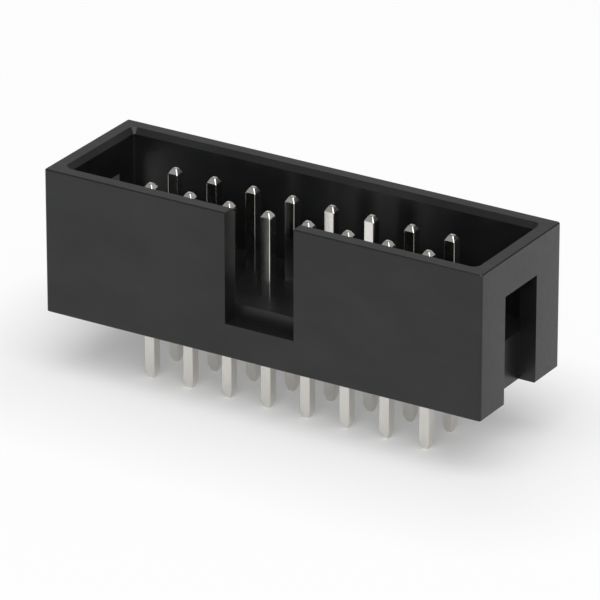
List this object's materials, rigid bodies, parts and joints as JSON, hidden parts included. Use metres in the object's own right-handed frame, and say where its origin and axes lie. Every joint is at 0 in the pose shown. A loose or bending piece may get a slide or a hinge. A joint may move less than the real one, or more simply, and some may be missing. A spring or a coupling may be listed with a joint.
{
  "type": "idc box header",
  "caption": "Shrouded box header for flat cable plugs: moulded housing with a key notch and end windows, and rows of straight square contacts with solder tails.",
  "frame": {"origin": "centre of the housing's underside, which seats on the board", "axes": "+Z out of the board, towards the mating side; +X along the contact rows; the key notch faces -Y"},
  "size_m": [0.0278, 0.0086, 0.0125],
  "materials": {
    "housing_plastic": "black glass-filled PBT, fine matt mould texture",
    "contact_metal": "tin plate over drawn brass wire"
  },
  "bodies": {
    "root": {"housing": "housing_plastic", "pin_1": "contact_metal", "pin_2": "contact_metal", "pin_3": "contact_metal", "pin_4": "contact_metal", "pin_5": "contact_metal", "pin_6": "contact_metal", "pin_7": "contact_metal", "pin_8": "contact_metal", "pin_9": "contact_metal", "pin_10": "contact_metal", "pin_11": "contact_metal", "pin_12": "contact_metal", "pin_13": "contact_metal", "pin_14": "contact_metal", "pin_15": "contact_metal", "pin_16": "contact_metal"}
  },
  "joints": []
}
